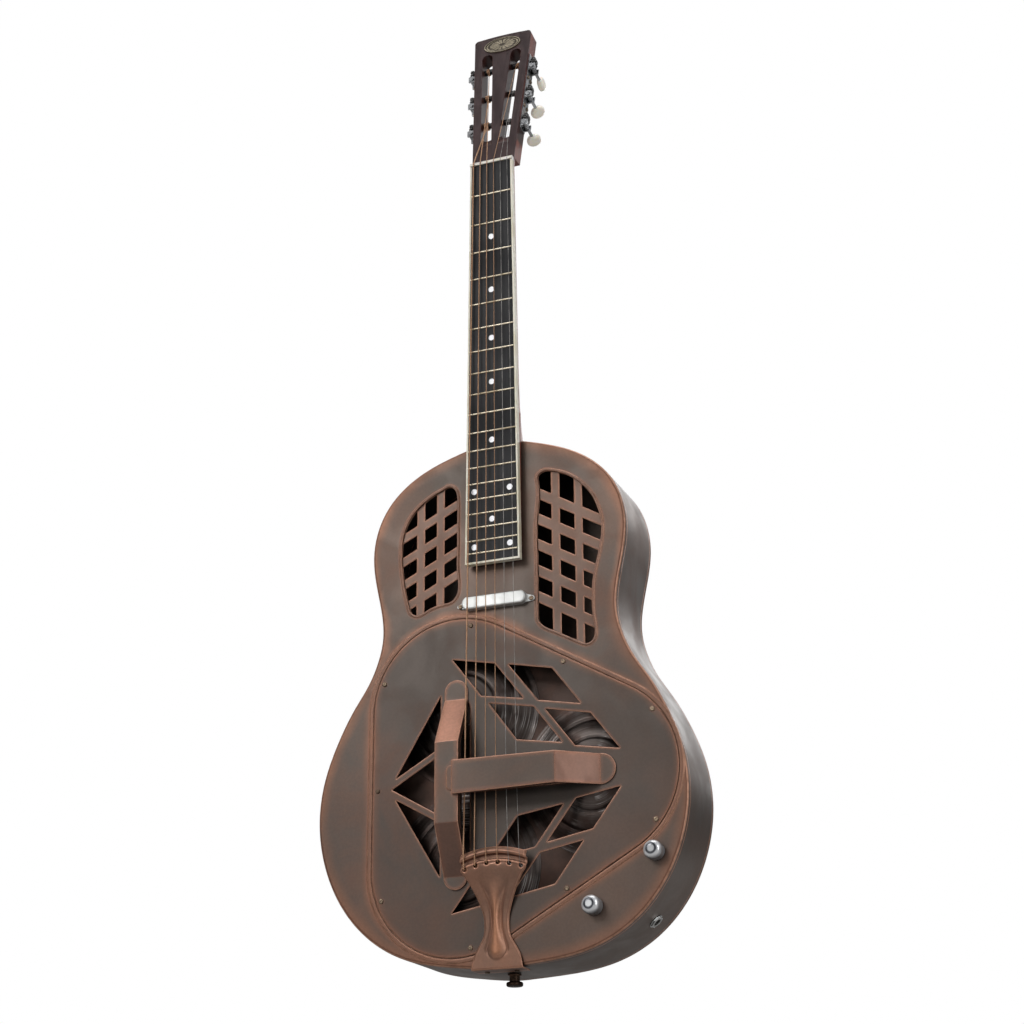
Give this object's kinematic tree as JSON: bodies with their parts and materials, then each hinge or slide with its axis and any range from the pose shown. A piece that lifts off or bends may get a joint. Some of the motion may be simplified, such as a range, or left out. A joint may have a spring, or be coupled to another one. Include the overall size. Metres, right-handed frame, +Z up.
{
  "type": "resonator guitar",
  "caption": "Metal-body resonator guitar with a T-shaped hand rest, diamond cover cutouts, latticed windows, slotted headstock with geared tuners, bar pickup and two control knobs.",
  "frame": {"origin": "centre line of the tail end at the strap button's seat, half way through the body's depth", "axes": "+Z up the neck, -Y the way the strings and cover face, +X the treble side"},
  "size_m": [0.3604, 0.1086, 0.9995],
  "materials": {
    "body_copper": "satin",
    "cover_copper": "satin",
    "tail_copper": "satin",
    "screw_steel": "satin",
    "dark_steel": "satin",
    "well_steel": "matte",
    "cone_aluminium": "spun",
    "maple": "satin",
    "mahogany": "satin lacquer",
    "ebony": "satin",
    "cream_plastic": "gloss",
    "fret_nickel": "polished",
    "pearl": "pearl",
    "bone": "satin",
    "badge_brass": "aged",
    "tuner_nickel": "satin",
    "tuner_dark": "satin",
    "button_cream": "gloss",
    "chrome": "polished",
    "pot_steel": "satin",
    "black_plastic": "matte",
    "bronze_string": "wound",
    "steel_string": "polished"
  },
  "bodies": {
    "guitar": {"body_top": "body_copper", "body_sides": "body_copper", "body_back": "body_copper", "grille_bass": "body_copper", "grille_treble": "body_copper", "coverplate": "cover_copper", "handrest_cover": "cover_copper", "tailpiece": "tail_copper", "body_screws": "screw_steel", "tuner_plate_screws": "screw_steel", "strap_button_screw": "screw_steel", "strap_button": "dark_steel", "soundwell": "well_steel", "cone_bass_upper": "cone_aluminium", "cone_bass_lower": "cone_aluminium", "cone_treble": "cone_aluminium", "t_bridge": "cone_aluminium", "bridge_saddle": "maple", "neck": "mahogany", "neck_stick": "mahogany", "fretboard": "ebony", "fretboard_binding": "cream_plastic", "frets": "fret_nickel", "fret_markers": "pearl", "nut": "bone", "headstock_badge": "badge_brass", "tuner_plate_bass": "tuner_nickel", "tuner_plate_treble": "tuner_nickel", "pickup_cover": "chrome", "jack_nut": "chrome", "volume_pot": "pot_steel", "tone_pot": "pot_steel", "output_jack": "pot_steel", "pickup_coil": "black_plastic", "wiring": "black_plastic", "strings_wound": "bronze_string", "strings_plain": "steel_string"},
    "tuner_key_low_e": {"tuner_worm_low_e": "tuner_nickel", "tuner_button_low_e": "button_cream"},
    "tuner_post_low_e": {"tuner_post_low_e": "tuner_dark"},
    "tuner_key_a": {"tuner_worm_a": "tuner_nickel", "tuner_button_a": "button_cream"},
    "tuner_post_a": {"tuner_post_a": "tuner_dark"},
    "tuner_key_d": {"tuner_worm_d": "tuner_nickel", "tuner_button_d": "button_cream"},
    "tuner_post_d": {"tuner_post_d": "tuner_dark"},
    "tuner_key_g": {"tuner_worm_g": "tuner_nickel", "tuner_button_g": "button_cream"},
    "tuner_post_g": {"tuner_post_g": "tuner_dark"},
    "tuner_key_b": {"tuner_worm_b": "tuner_nickel", "tuner_button_b": "button_cream"},
    "tuner_post_b": {"tuner_post_b": "tuner_dark"},
    "tuner_key_high_e": {"tuner_worm_high_e": "tuner_nickel", "tuner_button_high_e": "button_cream"},
    "tuner_post_high_e": {"tuner_post_high_e": "tuner_dark"},
    "volume_control": {"volume_knob": "chrome", "volume_pot_shaft": "pot_steel"},
    "tone_control": {"tone_knob": "chrome", "tone_pot_shaft": "pot_steel"}
  },
  "joints": [
    {"name": "key_low_e", "type": "hinge", "parent": "guitar", "child": "tuner_key_low_e", "pos_m": [-0.02991, -0.03659, 0.86269], "axis": [0, 0.9848, -0.1736], "continuous": true},
    {"name": "post_low_e", "type": "hinge", "parent": "guitar", "child": "tuner_post_low_e", "pos_m": [-0.02589, -0.02614, 0.87012], "axis": [-0.9986, -0.0093, -0.0528], "continuous": true},
    {"name": "key_a", "type": "hinge", "parent": "guitar", "child": "tuner_key_a", "pos_m": [-0.03197, -0.02992, 0.90055], "axis": [0, 0.9848, -0.1736], "continuous": true},
    {"name": "post_a", "type": "hinge", "parent": "guitar", "child": "tuner_post_a", "pos_m": [-0.02796, -0.01947, 0.90798], "axis": [-0.9986, -0.0093, -0.0528], "continuous": true},
    {"name": "key_d", "type": "hinge", "parent": "guitar", "child": "tuner_key_d", "pos_m": [-0.03404, -0.02324, 0.93841], "axis": [0, 0.9848, -0.1736], "continuous": true},
    {"name": "post_d", "type": "hinge", "parent": "guitar", "child": "tuner_post_d", "pos_m": [-0.03002, -0.01279, 0.94584], "axis": [-0.9986, -0.0093, -0.0528], "continuous": true},
    {"name": "key_g", "type": "hinge", "parent": "guitar", "child": "tuner_key_g", "pos_m": [0.03404, -0.02324, 0.93841], "axis": [0, 0.9848, -0.1736], "continuous": true},
    {"name": "post_g", "type": "hinge", "parent": "guitar", "child": "tuner_post_g", "pos_m": [0.03002, -0.01279, 0.94584], "axis": [0.9986, -0.0093, -0.0528], "continuous": true},
    {"name": "key_b", "type": "hinge", "parent": "guitar", "child": "tuner_key_b", "pos_m": [0.03197, -0.02992, 0.90055], "axis": [0, 0.9848, -0.1736], "continuous": true},
    {"name": "post_b", "type": "hinge", "parent": "guitar", "child": "tuner_post_b", "pos_m": [0.02796, -0.01947, 0.90798], "axis": [0.9986, -0.0093, -0.0528], "continuous": true},
    {"name": "key_high_e", "type": "hinge", "parent": "guitar", "child": "tuner_key_high_e", "pos_m": [0.02991, -0.03659, 0.86269], "axis": [0, 0.9848, -0.1736], "continuous": true},
    {"name": "post_high_e", "type": "hinge", "parent": "guitar", "child": "tuner_post_high_e", "pos_m": [0.02589, -0.02614, 0.87012], "axis": [0.9986, -0.0093, -0.0528], "continuous": true},
    {"name": "volume_turn", "type": "hinge", "parent": "guitar", "child": "volume_control", "pos_m": [0.1482, -0.048, 0.091], "axis": [0, -1, 0], "range_deg": [-150, 150]},
    {"name": "tone_turn", "type": "hinge", "parent": "guitar", "child": "tone_control", "pos_m": [0.0903, -0.048, 0.0476], "axis": [0, -1, 0], "range_deg": [-150, 150]}
  ],
  "couplings": [
    {"joint": "post_low_e", "follows": "key_low_e", "ratio": 0.0625},
    {"joint": "post_a", "follows": "key_a", "ratio": 0.0625},
    {"joint": "post_d", "follows": "key_d", "ratio": 0.0625},
    {"joint": "post_g", "follows": "key_g", "ratio": -0.0625},
    {"joint": "post_b", "follows": "key_b", "ratio": -0.0625},
    {"joint": "post_high_e", "follows": "key_high_e", "ratio": -0.0625}
  ]
}
